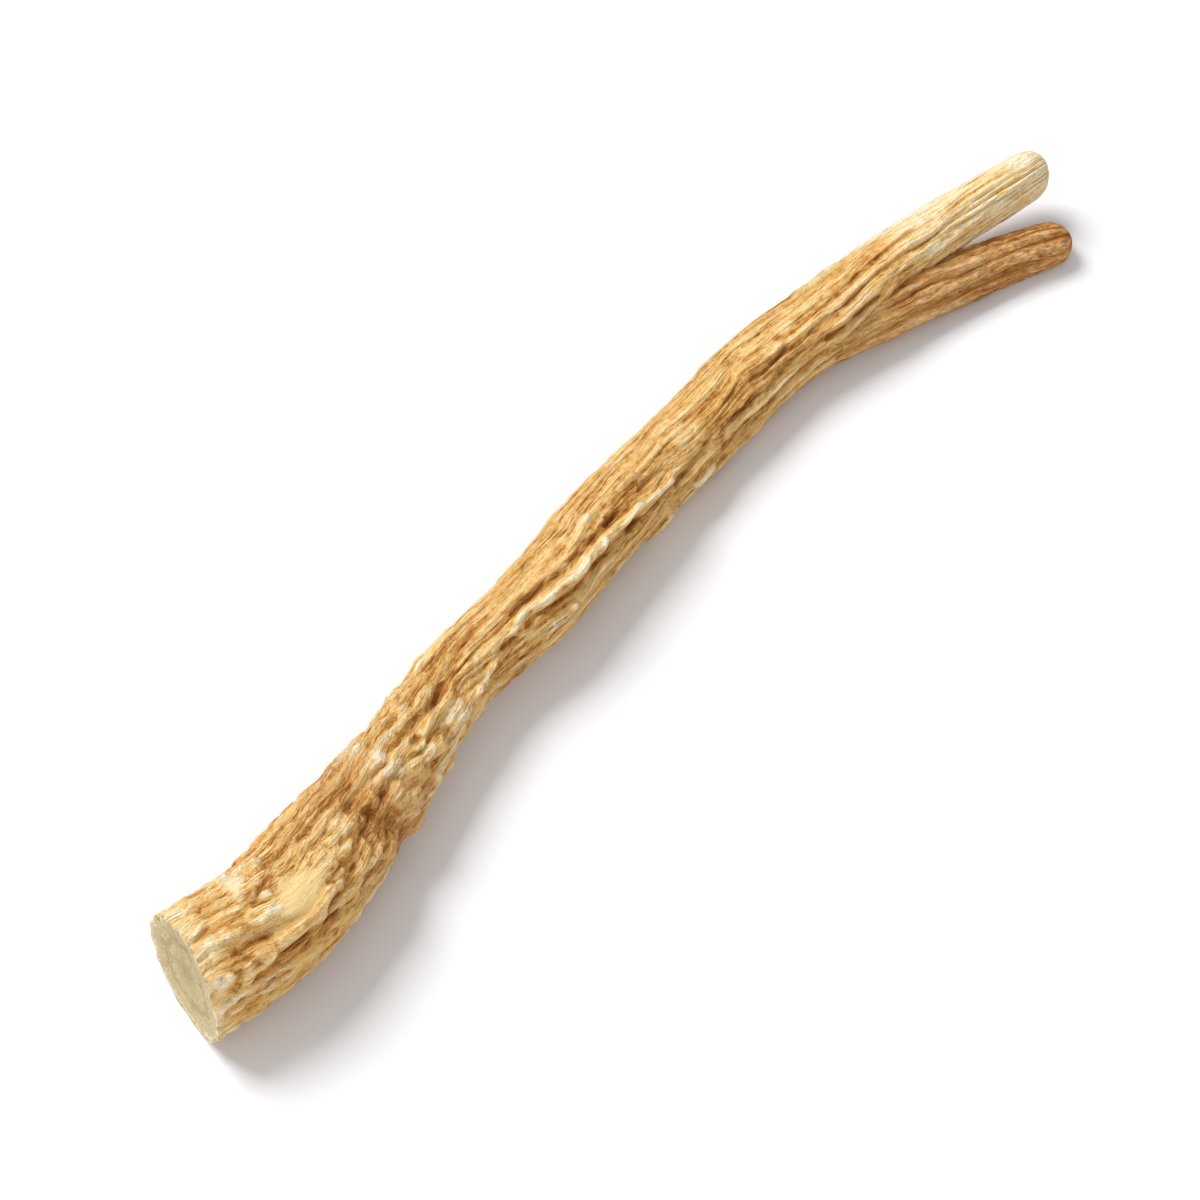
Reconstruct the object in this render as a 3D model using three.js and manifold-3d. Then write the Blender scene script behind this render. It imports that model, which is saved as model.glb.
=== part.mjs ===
// A dried american ginseng root, cut square at its thick end and forked into two short legs at the other.
// Sizes are millimetres and +Z is up. X runs from the cut end to the tips.
// An angle round the root is 0 on its top and grows towards -Y, in degrees.

import * as THREE from "three";
import Module from "manifold-3d";

// Where the trunk starts and ends along X, and its middle line and thickness at equal steps between the two
const trunkStart = -0.7;
const trunkEnd = 76.6;
const trunkSideways = [0, -1.2, -0.4, 0.8, 2.0, 2.2, 2.8, 3.4, 3.7, 3.8, 3.3, 2.7, 1.6, 0.3];
const trunkHeight = [3.5, 3.45, 3.45, 3.45, 3.4, 3.15, 2.8, 2.5, 2.32, 2.3, 2.45, 2.85, 3.25, 3.65];
const trunkRadius = [3.5, 3.45, 3.0, 2.3, 2.05, 2.35, 2.4, 2.38, 2.28, 2.3, 2.2, 1.85, 1.65, 1.4];
const tipRounding = 1.5;

// The lower leg, at equal steps from inside the trunk to its own blunt tip
const legStart = 56;
const legEnd = 74.6;
const legSideways = [2.9, 1.5, 0.2, -1.3, -3.4];
const legHeight = [2.0, 1.8, 1.5, 1.22, 1.0];
const legRadius = [1.5, 1.6, 1.5, 1.4, 1.25];
const legRounding = 1.1;

// The cut across the thick end: turned in plan, its top leaning back, a little dished inside its rim of bark
const cutTurn = 6;
const cutLean = 4;
const cutReach = 7;
const dishDepth = 0.2;
const dishRings = [0.9, 0.6, 0.3];

// Ribs and the furrows between them
const broadRibs = 14;
const narrowRibs = 17;
const buttRibHeight = 0.46;
const middleRibHeight = 0.26;
const tipRibHeight = 0.18;
const legBroadRibs = 9;
const legNarrowRibs = 12;
const legRibHeight = 0.24;

// Thinner than this, the trunk's relief gets lower with its radius
const fullReliefRadius = 2.2;

// The neck: short knobs where the trunk narrows, and a sharp crease below the shoulder
const neckMiddle = 18;
const neckReach = 6.5;
const knobHeight = 0.16;
const creaseAt = 12.2;
const creaseAngle = 62;
const creaseReach = 58;
const creaseDepth = 0.6;
const creaseWidth = 0.8;

// Long raised ribs and deep furrows that stand out from the rest, as a share of the heights given below
const longReliefShare = 0.75;

// Each one runs from one distance to another, through its angles at equal steps
const thickEndRelief = [
  { from: -0.4, to: 3.6, angles: [42, 40, 37, 35], height: -0.4, width: 5 },
  { from: -0.3, to: 2.4, angles: [82, 79, 75], height: -0.4, width: 5 },
  { from: 0.3, to: 3.3, angles: [71, 62, 57, 50], height: 0.35, width: 5 },
  { from: 0.2, to: 6, angles: [-34, -30, -26], height: 0.35, width: 8 },
  { from: 0.6, to: 7.5, angles: [-42, -48, -46], height: -0.4, width: 6 },
  { from: 2.6, to: 6.9, angles: [66, 60, 58, 60, 66], height: -0.5, width: 5 },
  { from: 5.8, to: 9, angles: [54, 51, 46], height: -0.45, width: 4.5 },
  { from: 4.8, to: 9.4, angles: [-12, -17, -19, -14], height: -0.45, width: 6 },
  { from: 3.4, to: 5.8, angles: [6, 0, -8], height: -0.3, width: 4 },
  { from: 8, to: 10.8, angles: [68, 71, 82], height: -0.4, width: 5 },
  { from: 8.2, to: 10.4, angles: [16, 24, 27], height: -0.3, width: 4 },
  { from: 8.3, to: 10.9, angles: [51, 59, 69], height: 0.35, width: 5 },
];
const middleRelief = [
  { from: 15.3, to: 17.6, angles: [29, 27, 27], height: -0.35, width: 6 },
  { from: 18.3, to: 25.2, angles: [26, 17, 5, -3, -12], height: -0.4, width: 7 },
  { from: 19, to: 24.6, angles: [69, 69, 65, 63, 50], height: 0.4, width: 6 },
  { from: 25.4, to: 33.2, angles: [39, 30, 32, 35, 39, 38], height: 0.42, width: 6 },
  { from: 33.2, to: 41.6, angles: [56, 33, 41, 39, 44, 51, 54], height: 0.42, width: 6 },
  { from: 26.2, to: 37.6, angles: [18, 14, 19, 23, 25, 24, 25, 22], height: -0.45, width: 5.5 },
  { from: 28, to: 38.2, angles: [47, 50, 54, 51, 50, 52, 53], height: -0.45, width: 5.5 },
  { from: 27.6, to: 30.6, angles: [75, 67, 68], height: 0.3, width: 6 },
  { from: 32.4, to: 35.2, angles: [-1, 1, 3], height: 0.25, width: 8 },
  { from: 37.2, to: 41.2, angles: [6, 10, 11, 12], height: 0.28, width: 6 },
  { from: 38.6, to: 41.5, angles: [26, 28, 33], height: -0.3, width: 5 },
  { from: 37.2, to: 41, angles: [65, 67, 62], height: -0.35, width: 9 },
];
const forkRelief = [
  { from: 40.8, to: 45.4, angles: [66, 62, 58, 54, 48], height: -0.45, width: 5.5 },
  { from: 37.5, to: 45.2, angles: [112, 108, 96, 88, 87, 84], height: 0.35, width: 7 },
  { from: 46.4, to: 54.8, angles: [50, 52, 49, 50, 49, 49], height: -0.45, width: 5.5 },
  { from: 49.8, to: 53.8, angles: [24, 23, 28, 28], height: -0.38, width: 5.5 },
  { from: 50, to: 55.6, angles: [80, 80, 77, 72], height: -0.32, width: 5.5 },
  { from: 55.2, to: 60.8, angles: [37, 38, 34, 25], height: -0.35, width: 6 },
  { from: 55.9, to: 61.2, angles: [59, 60, 56, 55], height: -0.35, width: 6 },
  { from: 56, to: 61.4, angles: [18, 14, 9, 1], height: -0.32, width: 6 },
  { from: 56.3, to: 61.6, angles: [46, 48, 45, 47, 51], height: 0.25, width: 5 },
  { from: 57, to: 65, angles: [-57, -59, -57], height: 0.2, width: 7 },
  { from: 57.7, to: 61, angles: [79, 76, 73], height: -0.3, width: 6 },
];
const backRelief = [
  { from: 5, to: 30, angles: [-72, -84, -70, -80, -76], height: -0.4, width: 8 },
  { from: 2, to: 22, angles: [175, 168, 180, 172], height: -0.45, width: 8 },
  { from: 20, to: 58, angles: [150, 162, 148, 158, 150], height: 0.38, width: 9 },
  { from: 30, to: 64, angles: [-100, -112, -96, -106, -98], height: -0.42, width: 8 },
  { from: 44, to: 66, angles: [-140, -150, -138, -146], height: 0.35, width: 8 },
];
const longRelief = [...thickEndRelief, ...middleRelief, ...forkRelief, ...backRelief];

// A rubbed patch on the thick end, where the ribs fade out
const smoothPatch = { at: 5.5, angle: 25, halfLength: 1.8, halfWidth: 1.15, calm: 0.9 };

// Old ring scars and cross cracks, each partly round the root
const ringScars = [
  { at: 10.3, angle: 48, reach: 16, height: -0.3, width: 0.45 },
  { at: 11.4, angle: 30, reach: 15, height: -0.25, width: 0.45 },
  { at: 12.7, angle: 36, reach: 26, height: -0.3, width: 0.5 },
  { at: 34.8, angle: -10, reach: 70, height: 0.16, width: 0.7 },
  { at: 46.2, angle: 58, reach: 18, height: -0.22, width: 0.45 },
  { at: 49.5, angle: 200, reach: 90, height: 0.25, width: 0.7 },
  { at: 8.2, angle: 190, reach: 80, height: 0.25, width: 0.7 },
];

// Fineness of the surface
const trunkSides = 58;
const legSides = 26;
const stationGap = 1.05;
const legGap = 1.15;
const roundingSteps = 4;

const barkColour = 0xc89a5e;

function radians(degrees) {
  return (degrees * Math.PI) / 180;
}

function fade(value, low, high) {
  const t = Math.min(1, Math.max(0, (value - low) / (high - low)));
  return t * t * (3 - 2 * t);
}

function hump(distance, width) {
  return Math.exp(-(distance * distance) / (width * width));
}

// The shortest turn from one angle to another, in degrees
function turnBetween(angle, other) {
  return ((((angle - other) % 360) + 540) % 360) - 180;
}

// A smooth curve through values that stand at equal steps, with t from 0 to 1
function through(values, t) {
  const last = values.length - 1;
  const place = Math.min(1, Math.max(0, t)) * last;
  const i = Math.min(Math.floor(place), last - 1);
  const s = place - i;
  const a = values[i];
  const b = values[i + 1];
  const before = i > 0 ? values[i - 1] : 2 * a - b;
  const after = i < last - 1 ? values[i + 2] : 2 * b - a;
  const slopeA = (b - before) / 2;
  const slopeB = (after - a) / 2;
  const rise = s * s * (3 - 2 * s);
  return a + (b - a) * rise + slopeA * s * (1 - s) * (1 - s) - slopeB * s * s * (1 - s);
}

// The way that ribs run: an angle in radians that sways and kinks a little along the root
function flow(x, a) {
  const { sin } = Math;
  const slow = 0.1 * sin(a + 0.8 + x / 31) + 0.06 * sin(3 * a + x / 19) + 0.06 * sin(x / 11.7 + 1.4);
  const kinks = 0.025 * sin(x / 1.1 + 2 * a) + 0.015 * sin(x / 0.61 + 3 * a + 1) + 0.03 * sin(x / 1.9 + a);
  return a + slow + kinks;
}

// Rounded ribs with narrow furrows between them, from -0.5 in a furrow to 0.5 on a rib.
// Two counts of ribs take over from each other along the root, so ribs seem to part and join.
function ribPattern(x, angle, broad, narrow) {
  const a = radians(angle);
  const way = flow(x, a);
  const wide = Math.abs(Math.sin((broad * way) / 2 + 0.6)) - 0.5;
  const close = Math.abs(Math.sin((narrow * way) / 2 + 1.9)) - 0.5;
  const mix = 0.5 + 0.5 * Math.sin(x / 14 + a);
  const strength = 0.7 + 0.3 * Math.sin(x / 7.3 + 2 * a + 2) * Math.sin(x / 4.1 - a);
  return strength * (wide * mix + close * (1 - mix));
}

function trunkRibHeight(x) {
  const afterButt = fade(x, 9, 20);
  const towardsTip = fade(x, 56, 76);
  const main = buttRibHeight + (middleRibHeight - buttRibHeight) * afterButt;
  return main + (tipRibHeight - main) * towardsTip;
}

function longReliefAt(x, angle) {
  let sum = 0;
  for (const line of longRelief) {
    const t = (x - line.from) / (line.to - line.from);
    const along = fade(t, 0, 0.12) * (1 - fade(t, 0.88, 1));
    const aside = turnBetween(angle, through(line.angles, t));
    sum += line.height * along * hump(aside, line.width);
  }
  return sum * longReliefShare;
}

// Short knobs on the neck, and the crease that crosses its one side
function neckRelief(x, angle) {
  const a = radians(angle);
  const knobs = Math.sin(x * 2.3 + 2.2 * Math.sin(2 * a + 0.5)) * Math.sin(4 * a + x * 0.7);
  const bent = creaseAt + 0.8 * Math.sin(radians(angle - creaseAngle));
  const across = hump(turnBetween(angle, creaseAngle), creaseReach);
  const crease = creaseDepth * across * hump(x - bent, creaseWidth);
  return knobHeight * knobs * hump(x - neckMiddle, neckReach) - crease;
}

function scarRelief(x, angle) {
  let sum = 0;
  for (const scar of ringScars) {
    const along = x - scar.at - 0.4 * Math.sin(radians(3 * angle));
    const aside = turnBetween(angle, scar.angle);
    sum += scar.height * hump(along, scar.width) * hump(aside, scar.reach);
  }
  return sum;
}

// Low swellings that keep the root from being a true round
function lumps(x, angle) {
  const a = radians(angle);
  const low = 0.05 * Math.sin(2 * a + x / 5.2) + 0.035 * Math.sin(a * 3 - x / 4.1 + 1);
  return low + 0.03 * Math.sin(x / 2.4 + a);
}

// How much of the relief is left, less than 1 inside the rubbed patch
function leftByPatch(x, angle, radius) {
  const aside = (radians(turnBetween(angle, smoothPatch.angle)) * radius) / smoothPatch.halfWidth;
  const along = (x - smoothPatch.at) / smoothPatch.halfLength;
  return 1 - smoothPatch.calm * (1 - fade(Math.hypot(aside, along), 0.55, 1.15));
}

function trunkShare(x) {
  return (x - trunkStart) / (trunkEnd - trunkStart);
}

function legShare(x) {
  return (x - legStart) / (legEnd - legStart);
}

function trunkSurface(x, angle) {
  const radius = through(trunkRadius, trunkShare(x));
  const relief =
    trunkRibHeight(x) * ribPattern(x, angle, broadRibs, narrowRibs) +
    longReliefAt(x, angle) +
    neckRelief(x, angle) +
    scarRelief(x, angle);
  const share = Math.min(1, radius / fullReliefRadius) * leftByPatch(x, angle, radius);
  return radius * (1 + lumps(x, angle)) + relief * share;
}

function legSurface(x, angle) {
  const relief = legRibHeight * ribPattern(x + 11, angle + 40, legBroadRibs, legNarrowRibs);
  return through(legRadius, legShare(x)) * (1 + lumps(x, angle + 90)) + relief;
}

function trunkMiddle(x) {
  const t = trunkShare(x);
  return new THREE.Vector3(x, through(trunkSideways, t), through(trunkHeight, t));
}

function legMiddle(x) {
  const t = legShare(x);
  return new THREE.Vector3(x, through(legSideways, t), through(legHeight, t));
}

// The middle line's direction, measured over a millimetre where it is that long
function direction(limb, x) {
  const ahead = limb.middle(Math.min(x + 0.5, limb.end));
  return ahead.sub(limb.middle(Math.max(x - 0.5, limb.start))).normalize();
}

// The point on the surface at a distance and angle, on a section square to the middle line.
// A size of 1 is the surface, and 0 is the middle line.
function surfacePoint(limb, x, angle, size) {
  const middle = limb.middle(x);
  const along = direction(limb, x);
  const side = new THREE.Vector3().crossVectors(along, new THREE.Vector3(0, 0, 1)).normalize();
  const up = new THREE.Vector3().crossVectors(side, along);
  const out = up.multiplyScalar(Math.cos(radians(angle))).addScaledVector(side, Math.sin(radians(angle)));
  return middle.addScaledVector(out, limb.surface(x, angle) * size);
}

// Rings that close the thick end: they stand on the cut, and go deeper towards its middle
function cutRings() {
  return [...dishRings].reverse().map((size) => ({ depth: dishDepth * (1 - size * size), size, cut: true }));
}

// Rings that round off a tip, smaller and smaller towards the end
function tipRings(end, rounding) {
  const rings = [];
  for (let i = 1; i < roundingSteps; i += 1) {
    const turn = (i / roundingSteps) * (Math.PI / 2);
    rings.push({ x: end - rounding + rounding * Math.sin(turn), size: Math.cos(turn) });
  }
  return rings;
}

function evenRings(from, to, gap) {
  const count = Math.round((to - from) / gap);
  return Array.from({ length: count + 1 }, (_, i) => ({ x: from + ((to - from) * i) / count, size: 1 }));
}

// The cut slants across the root, so each point near it slides along the root
function slide(point, x, middle) {
  const near = 1 - fade(x, 0, cutReach);
  const aside = (point.y - middle.y) * Math.tan(radians(cutTurn));
  const above = (point.z - middle.z) * Math.tan(radians(cutLean));
  point.x += near * (aside + above);
  return point;
}

function ringPoints(limb, ring, sides) {
  const at = ring.cut ? trunkStart : ring.x;
  return Array.from({ length: sides }, (_, j) => {
    const point = surfacePoint(limb, at, (360 * j) / sides, ring.size);
    if (limb.isCut) {
      slide(point, at, limb.middle(at));
    }
    if (ring.cut) {
      point.x += ring.depth;
    }
    point.z = Math.max(0, point.z);
    return point;
  });
}

// A closed skin over the rings, with one point in the middle of each end
function skin(limb, rings, sides, firstPoint, lastPoint) {
  const points = [firstPoint, ...rings.flatMap((ring) => ringPoints(limb, ring, sides)), lastPoint];
  const faces = [];
  const final = points.length - 1;
  const at = (i, j) => 1 + i * sides + (j % sides);
  for (let j = 0; j < sides; j += 1) {
    faces.push(0, at(0, j + 1), at(0, j));
    faces.push(final, at(rings.length - 1, j), at(rings.length - 1, j + 1));
  }
  for (let i = 0; i < rings.length - 1; i += 1) {
    for (let j = 0; j < sides; j += 1) {
      faces.push(at(i, j), at(i, j + 1), at(i + 1, j + 1));
      faces.push(at(i, j), at(i + 1, j + 1), at(i + 1, j));
    }
  }
  const places = new Float32Array(points.flatMap((p) => [p.x, p.y, p.z]));
  return { vertProperties: places, triVerts: new Uint32Array(faces) };
}

function trunkSkin() {
  const limb = { start: trunkStart, end: trunkEnd, middle: trunkMiddle, surface: trunkSurface, isCut: true };
  const straight = evenRings(trunkStart, trunkEnd - tipRounding, stationGap);
  const rings = [...cutRings(), ...straight, ...tipRings(trunkEnd, tipRounding)];
  const first = trunkMiddle(trunkStart).add(new THREE.Vector3(dishDepth, 0, 0));
  return skin(limb, rings, trunkSides, first, trunkMiddle(trunkEnd));
}

function legSkin() {
  const limb = { start: legStart, end: legEnd, middle: legMiddle, surface: legSurface, isCut: false };
  const rings = [...evenRings(legStart, legEnd - legRounding, legGap), ...tipRings(legEnd, legRounding)];
  return skin(limb, rings, legSides, legMiddle(legStart), legMiddle(legEnd));
}

const wasm = await Module();
wasm.setup();

function solid(part) {
  return new wasm.Manifold(new wasm.Mesh({ numProp: 3, ...part }));
}

// One body, with the middle of its underside at the origin
function rootGeometry() {
  const joined = solid(trunkSkin()).add(solid(legSkin())).getMesh();
  const geometry = new THREE.BufferGeometry();
  geometry.setAttribute("position", new THREE.BufferAttribute(joined.vertProperties, 3));
  geometry.setIndex(new THREE.BufferAttribute(joined.triVerts, 1));
  geometry.computeBoundingBox();
  const middle = geometry.boundingBox.getCenter(new THREE.Vector3());
  geometry.translate(-middle.x, -middle.y, -geometry.boundingBox.min.z);
  geometry.computeVertexNormals();
  return geometry;
}

const bark = new THREE.MeshStandardMaterial({ color: barkColour, roughness: 0.85, metalness: 0 });
const root = new THREE.Mesh(rootGeometry(), bark);
root.name = "ginseng_root";

const group = new THREE.Group();
group.add(root);

export default group;
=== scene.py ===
"""A dried american ginseng root that lies on a pale floor, seen from above its cut end.

The root is one piece: a trunk, cut square at its thick end, and a lower leg that parts from it near the tips.
Its sizes are millimetres, on the same middle lines as the frame's solid. The finished mesh is in metres.
X runs from the cut end to the tips. An angle round the root is 0 on its top and grows towards -Y.
"""

import logging
import math
from dataclasses import dataclass, field
from enum import Enum

import bmesh
import bpy
import numpy as np
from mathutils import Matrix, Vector, kdtree, noise


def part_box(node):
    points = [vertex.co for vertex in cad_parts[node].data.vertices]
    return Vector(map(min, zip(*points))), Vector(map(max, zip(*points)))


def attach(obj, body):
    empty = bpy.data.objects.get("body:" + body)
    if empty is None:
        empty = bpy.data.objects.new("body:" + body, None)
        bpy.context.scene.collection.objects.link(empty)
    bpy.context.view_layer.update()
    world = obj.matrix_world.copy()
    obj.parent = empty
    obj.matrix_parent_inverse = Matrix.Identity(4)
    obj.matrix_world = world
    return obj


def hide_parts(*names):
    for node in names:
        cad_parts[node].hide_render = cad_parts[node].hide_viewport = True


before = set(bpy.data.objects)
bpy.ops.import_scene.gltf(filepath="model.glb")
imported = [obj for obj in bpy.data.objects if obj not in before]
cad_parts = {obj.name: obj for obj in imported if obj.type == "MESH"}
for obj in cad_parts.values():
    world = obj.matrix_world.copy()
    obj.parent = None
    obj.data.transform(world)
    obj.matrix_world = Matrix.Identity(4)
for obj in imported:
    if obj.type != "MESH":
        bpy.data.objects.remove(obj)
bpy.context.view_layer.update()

log = logging.getLogger("ginseng_root")

METRE = 1000.0
ROOT_NODE = "ginseng_root"
ROOT_BODY = "root"

# How much of a long rib or furrow tapers off at each end, and where a spot's edge fades
LINE_TAPER = 0.12
SPOT_EDGE = (0.55, 1.15)

# How near to the peg's flat end a point is on it, the rim of that end, and how near points become one
AT_END = 1e-6
RIM = 0.999
MERGE = 1e-5

Array = np.ndarray
Colour = tuple[int, int, int]
Socket = bpy.types.NodeSocket
Span = tuple[float, float]
Curve = tuple[float, ...]


class Mark(Enum):
    """What a point of the skin carries for its material: shares from 0 to 1, and a place to lay grain on."""

    # The first three carry painted light as well: shade in the relief's furrows and hollows, light towards
    # the trunk's tip, and shade low on the sides, in sunk lines and on the lower leg
    SHADED_TONE = "shaded_tone"
    WORN_AND_LIT = "worn_and_lit"
    STAIN_AND_SHADE = "stain_and_shade"
    CALM = "calm"
    CUT = "cut"
    CUT_REACH = "cut_reach"
    WAY = "way"


Marks = dict[Mark, Array]


def fade(value: Array, low: float, high: float) -> Array:
    """Rises smoothly from 0 at low to 1 at high."""
    t = np.clip((value - low) / (high - low), 0.0, 1.0)
    return t * t * (3.0 - 2.0 * t)


def hump(distance: Array, width: float) -> Array:
    """A bell of height 1 at distance 0, and about a third as high at its width."""
    return np.exp(-(distance * distance) / (width * width))


def turn_between(angle: Array, other: Array | float) -> Array:
    """The shortest turn to an angle from another, from -180 to 180 degrees."""
    return (angle - other + 540.0) % 360.0 - 180.0


def through(values: Curve, t: Array) -> Array:
    """A smooth curve through values that stand at equal steps.

    Args:
        values: The values that the curve passes through.
        t: Places on the curve, from 0 to 1.

    Returns:
        The curve's value at each place.
    """
    v = np.asarray(values, float)
    v = np.concatenate([[2 * v[0] - v[1]], v, [2 * v[-1] - v[-2]]])
    last = len(values) - 1
    place = np.clip(t, 0.0, 1.0) * last
    i = np.minimum(place.astype(int), last - 1)
    s = place - i
    before, a, b, after = v[i], v[i + 1], v[i + 2], v[i + 3]
    rise = s * s * (3 - 2 * s)
    leave = (b - before) / 2 * s * (1 - s) * (1 - s)
    reach = (after - a) / 2 * s * s * (1 - s)
    return a + (b - a) * rise + leave - reach


def linear(red: int, green: int, blue: int) -> tuple[float, float, float, float]:
    """A screen colour with parts from 0 to 255 as a shader wants it: in linear light, with an alpha of 1."""
    parts = [c / 255 for c in (red, green, blue)]
    return (*[c / 12.92 if c <= 0.04045 else ((c + 0.055) / 1.055) ** 2.4 for c in parts], 1.0)


def in_scene(name: str, data: bpy.types.ID) -> bpy.types.Object:
    """Puts a mesh, light or camera in the scene, at its origin.

    Args:
        name: The object's name.
        data: What it shows.

    Returns:
        The object.
    """
    made = bpy.data.objects.new(name, data)
    bpy.context.scene.collection.objects.link(made)
    return made


@dataclass(frozen=True)
class LongRelief:
    """A long rib or furrow that stands out from the rest, through its angles at equal steps."""

    start: float
    end: float
    angles: Curve
    height: float
    width: float
    pale: float = 0.0

    def share(self, x: Array, angle: Array) -> Array:
        """How much of the relief there is at each point, from 0 to 1.

        Args:
            x: Distances from the cut end.
            angle: Angles round the root, in degrees.

        Returns:
            1 on its line, fading to 0 beside it and at its ends.
        """
        t = (x - self.start) / (self.end - self.start)
        along = fade(t, 0.0, LINE_TAPER) * (1.0 - fade(t, 1.0 - LINE_TAPER, 1.0))
        return along * hump(turn_between(angle, through(self.angles, t)), self.width)


@dataclass(frozen=True)
class Spot:
    """A small oval place in the bark: a fleck, a pit or a smooth patch. Sizes are millimetres."""

    at: float
    angle: float
    half_length: float
    half_width: float
    height: float = 0.0
    pale: float = 0.0
    brown: float = 0.0
    smooth: float = 0.0

    def share(self, x: Array, angle: Array, thickness: Array) -> Array:
        """How far each point is inside the spot, from 0 to 1.

        Args:
            x: Distances from the cut end.
            angle: Angles round the root, in degrees.
            thickness: The root's radius at each point.

        Returns:
            1 in its middle, fading to 0 past its edge.
        """
        aside = np.radians(turn_between(angle, self.angle)) * thickness / self.half_width
        along = (x - self.at) / self.half_length
        return 1.0 - fade(np.hypot(aside, along), *SPOT_EDGE)


@dataclass(frozen=True)
class RingScar:
    """An old scar that runs partly round the root."""

    at: float
    angle: float
    reach: float
    height: float
    width: float = 0.7

    def share(self, x: Array, angle: Array) -> Array:
        """How near each point is to the scar, from 0 to 1."""
        bend = 0.4 * np.sin(np.radians(3 * angle))
        return hump(x - self.at - bend, self.width) * hump(turn_between(angle, self.angle), self.reach)


@dataclass(frozen=True)
class Wrinkles:
    """Irregular folds of dried bark, with furrows between them that are narrower the steeper they are."""

    across: float
    along: float
    height: float
    seed: float
    steep: float
    roundness: float = 0.65
    middle: float = 0.6

    def at(self, x: Array, turn: Array, girth: float) -> Array:
        """Gives the folds' height.

        Args:
            x: Distances from the cut end.
            turn: Angles round the root, in radians.
            girth: The radius that the folds are spread on.

        Returns:
            From -0.6 in a furrow to 0.4 on a back, for each point.
        """
        ys = np.cos(turn) * girth / self.across
        zs = np.sin(turn) * girth / self.across
        xs = x / self.along + self.seed
        raw = np.array([noise.noise((a, b, c)) for a, b, c in zip(xs, ys, zs)])
        return np.minimum(1.0, np.abs(raw) * self.steep) ** self.roundness - self.middle


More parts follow.
